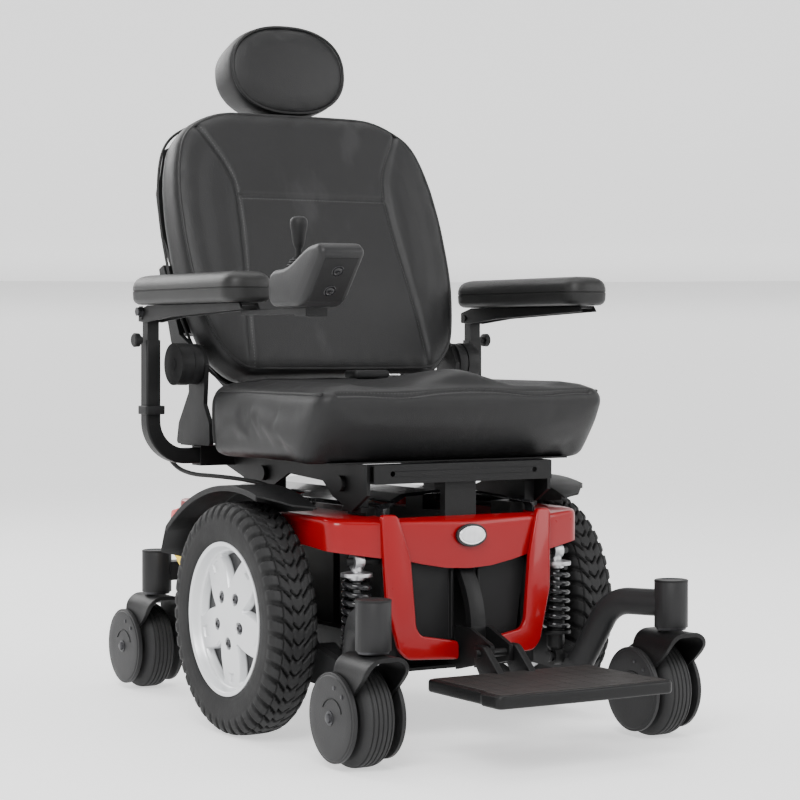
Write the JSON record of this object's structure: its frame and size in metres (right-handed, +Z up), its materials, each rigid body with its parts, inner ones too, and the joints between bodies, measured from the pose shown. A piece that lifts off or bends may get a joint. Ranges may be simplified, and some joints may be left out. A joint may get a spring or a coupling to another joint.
{
  "type": "power wheelchair",
  "caption": "Mid-wheel-drive power wheelchair with captain's seat, headrest, flip-up armrests, joystick controller, caster suspension and flip-up foot platform.",
  "frame": {"origin": "on the floor under the middle of the chair's box", "axes": "+Z up, the chair faces -Y, +X is the user's left"},
  "size_m": [0.7, 1.128, 1.15],
  "materials": {
    "frame_black": "satin powder coat",
    "battery_grey": "moulded",
    "red_gloss": "gloss",
    "black_gloss": "gloss",
    "black_matte": "fine texture",
    "platform": "fine texture",
    "chrome": "polished",
    "badge_chrome": "polished",
    "motor": "matt",
    "yellow": "moulded",
    "tyre": "rubber",
    "caster_tyre": "rubber",
    "rim": "silver paint",
    "spring_black": "gloss",
    "upholstery": "smooth vinyl",
    "pad_foam": "self-skinned foam",
    "stick": "gloss",
    "boot_rubber": "matt",
    "webbing": "woven",
    "cable": "jacket"
  },
  "bodies": {
    "base": {"chassis_frame": "frame_black", "batteries": "battery_grey", "body_shroud": "red_gloss", "front_trim": "red_gloss", "front_panel": "black_matte", "top_cover": "black_gloss", "rear_cover": "black_matte", "fenders": "black_matte", "seat_posts": "frame_black", "footrest_mast": "frame_black", "badge": "badge_chrome", "seat_frame": "frame_black", "seat_cushion": "upholstery", "recliner_brackets": "frame_black", "arm_tubes": "frame_black", "lap_belt": "webbing", "joystick_cable": "cable"},
    "rear_axle": {"rear_beam": "frame_black"},
    "foot_platform": {"footplate": "platform"},
    "backrest": {"back_shell": "black_matte", "back_cushion": "upholstery"},
    "headrest": {"headrest_post": "frame_black", "headrest_cushion": "upholstery"},
    "stick_boot": {"joystick_boot": "boot_rubber"},
    "stick": {"joystick": "stick"},
    "arm_right": {"suspension_arm_right": "frame_black", "drive_motor_right": "motor"},
    "lever_right": {"freewheel_lever_right": "yellow"},
    "drive_wheel_right": {"drive_tyre_right": "tyre", "drive_rim_right": "rim"},
    "shock_upper_right": {"shock_rod_right": "chrome", "shock_spring_right": "spring_black"},
    "shock_lower_right": {"shock_body_right": "chrome"},
    "post_right": {"arm_post_right": "frame_black"},
    "armrest_right": {"arm_bracket_right": "frame_black", "arm_pad_right": "pad_foam", "controller_housing": "black_matte"},
    "fork_front_right": {"caster_fork_front_right": "frame_black", "caster_covers_front_right": "black_matte"},
    "caster_front_right": {"caster_wheel_front_right": "caster_tyre"},
    "fork_rear_right": {"caster_fork_rear_right": "frame_black", "caster_covers_rear_right": "black_matte"},
    "caster_rear_right": {"caster_wheel_rear_right": "caster_tyre"},
    "arm_left": {"suspension_arm_left": "frame_black", "drive_motor_left": "motor"},
    "lever_left": {"freewheel_lever_left": "yellow"},
    "drive_wheel_left": {"drive_tyre_left": "tyre", "drive_rim_left": "rim"},
    "shock_upper_left": {"shock_rod_left": "chrome", "shock_spring_left": "spring_black"},
    "shock_lower_left": {"shock_body_left": "chrome"},
    "post_left": {"arm_post_left": "frame_black"},
    "armrest_left": {"arm_bracket_left": "frame_black", "arm_pad_left": "pad_foam"},
    "fork_front_left": {"caster_fork_front_left": "frame_black", "caster_covers_front_left": "black_matte"},
    "caster_front_left": {"caster_wheel_front_left": "caster_tyre"},
    "fork_rear_left": {"caster_fork_rear_left": "frame_black", "caster_covers_rear_left": "black_matte"},
    "caster_rear_left": {"caster_wheel_rear_left": "caster_tyre"}
  },
  "joints": [
    {"name": "rear_axle_rock", "type": "hinge", "parent": "base", "child": "rear_axle", "pos_m": [0, 0.447, 0.205], "axis": [0, 1, 0], "range_deg": [-5, 5]},
    {"name": "foot_platform_flip", "type": "hinge", "parent": "base", "child": "foot_platform", "pos_m": [0, -0.331, 0.14], "axis": [-1, 0, 0], "range_deg": [0, 90]},
    {"name": "backrest_recline", "type": "hinge", "parent": "base", "child": "backrest", "pos_m": [0, 0.184, 0.565], "axis": [-1, 0, 0], "range_deg": [0, 30]},
    {"name": "headrest_height", "type": "slide", "parent": "backrest", "child": "headrest", "axis": [0, 0.3584, 0.9336], "range_m": [0, 0.06]},
    {"name": "stick_fore_aft", "type": "hinge", "parent": "armrest_right", "child": "stick_boot", "pos_m": [-0.29, -0.246, 0.71], "axis": [1, 0, 0], "range_deg": [-16, 16], "stiffness_Nm_per_rad": 0.4},
    {"name": "stick_sideways", "type": "hinge", "parent": "stick_boot", "child": "stick", "pos_m": [-0.29, -0.246, 0.71], "axis": [0, 1, 0], "range_deg": [-16, 16], "stiffness_Nm_per_rad": 0.4},
    {"name": "suspension_right", "type": "hinge", "parent": "base", "child": "arm_right", "pos_m": [-0.18, -0.104, 0.12], "axis": [-1, 0, 0], "range_deg": [-3.8, 3.8], "stiffness_Nm_per_rad": 250},
    {"name": "drive_spin_right", "type": "hinge", "parent": "arm_right", "child": "drive_wheel_right", "pos_m": [-0.27, -0.034, 0.178], "axis": [1, 0, 0], "continuous": true},
    {"name": "freewheel_right", "type": "hinge", "parent": "arm_right", "child": "lever_right", "pos_m": [-0.2, 0.288, 0.232], "axis": [-1, 0, 0], "range_deg": [0, 40]},
    {"name": "shock_tilt_right", "type": "hinge", "parent": "base", "child": "shock_upper_right", "pos_m": [-0.18, -0.224, 0.275], "axis": [-1, 0, 0], "range_deg": [-0.24, 0.24]},
    {"name": "shock_stroke_right", "type": "slide", "parent": "shock_upper_right", "child": "shock_lower_right", "axis": [0, 0, 1], "range_m": [-0.008, 0.008], "deforming": ["shock_spring_right"]},
    {"name": "armrest_height_right", "type": "slide", "parent": "base", "child": "post_right", "axis": [0, 0, 1], "range_m": [0, 0.06]},
    {"name": "armrest_flip_right", "type": "hinge", "parent": "post_right", "child": "armrest_right", "pos_m": [-0.31, 0.216, 0.642], "axis": [-1, 0, 0], "range_deg": [0, 90]},
    {"name": "swivel_front_right", "type": "hinge", "parent": "arm_right", "child": "fork_front_right", "pos_m": [-0.262, -0.411, 0.168], "axis": [0, 0, 1], "continuous": true},
    {"name": "caster_spin_front_right", "type": "hinge", "parent": "fork_front_right", "child": "caster_front_right", "pos_m": [-0.262, -0.367, 0.073], "axis": [1, 0, 0], "continuous": true},
    {"name": "swivel_rear_right", "type": "hinge", "parent": "rear_axle", "child": "fork_rear_right", "pos_m": [-0.19, 0.447, 0.168], "axis": [0, 0, 1], "continuous": true},
    {"name": "caster_spin_rear_right", "type": "hinge", "parent": "fork_rear_right", "child": "caster_rear_right", "pos_m": [-0.19, 0.491, 0.073], "axis": [1, 0, 0], "continuous": true},
    {"name": "suspension_left", "type": "hinge", "parent": "base", "child": "arm_left", "pos_m": [0.18, -0.104, 0.12], "axis": [-1, 0, 0], "range_deg": [-3.8, 3.8], "stiffness_Nm_per_rad": 250},
    {"name": "drive_spin_left", "type": "hinge", "parent": "arm_left", "child": "drive_wheel_left", "pos_m": [0.27, -0.034, 0.178], "axis": [1, 0, 0], "continuous": true},
    {"name": "freewheel_left", "type": "hinge", "parent": "arm_left", "child": "lever_left", "pos_m": [0.2, 0.288, 0.232], "axis": [-1, 0, 0], "range_deg": [0, 40]},
    {"name": "shock_tilt_left", "type": "hinge", "parent": "base", "child": "shock_upper_left", "pos_m": [0.18, -0.224, 0.275], "axis": [-1, 0, 0], "range_deg": [-0.24, 0.24]},
    {"name": "shock_stroke_left", "type": "slide", "parent": "shock_upper_left", "child": "shock_lower_left", "axis": [0, 0, 1], "range_m": [-0.008, 0.008], "deforming": ["shock_spring_left"]},
    {"name": "armrest_height_left", "type": "slide", "parent": "base", "child": "post_left", "axis": [0, 0, 1], "range_m": [0, 0.06]},
    {"name": "armrest_flip_left", "type": "hinge", "parent": "post_left", "child": "armrest_left", "pos_m": [0.31, 0.216, 0.642], "axis": [-1, 0, 0], "range_deg": [0, 90]},
    {"name": "swivel_front_left", "type": "hinge", "parent": "arm_left", "child": "fork_front_left", "pos_m": [0.262, -0.411, 0.168], "axis": [0, 0, 1], "continuous": true},
    {"name": "caster_spin_front_left", "type": "hinge", "parent": "fork_front_left", "child": "caster_front_left", "pos_m": [0.262, -0.367, 0.073], "axis": [1, 0, 0], "continuous": true},
    {"name": "swivel_rear_left", "type": "hinge", "parent": "rear_axle", "child": "fork_rear_left", "pos_m": [0.19, 0.447, 0.168], "axis": [0, 0, 1], "continuous": true},
    {"name": "caster_spin_rear_left", "type": "hinge", "parent": "fork_rear_left", "child": "caster_rear_left", "pos_m": [0.19, 0.491, 0.073], "axis": [1, 0, 0], "continuous": true}
  ],
  "couplings": [
    {"joint": "shock_tilt_right", "follows": "suspension_right", "ratio": 0.0606},
    {"joint": "shock_stroke_right", "follows": "suspension_right", "m_per_rad": 0.12},
    {"joint": "shock_tilt_left", "follows": "suspension_left", "ratio": 0.0606},
    {"joint": "shock_stroke_left", "follows": "suspension_left", "m_per_rad": 0.12}
  ]
}
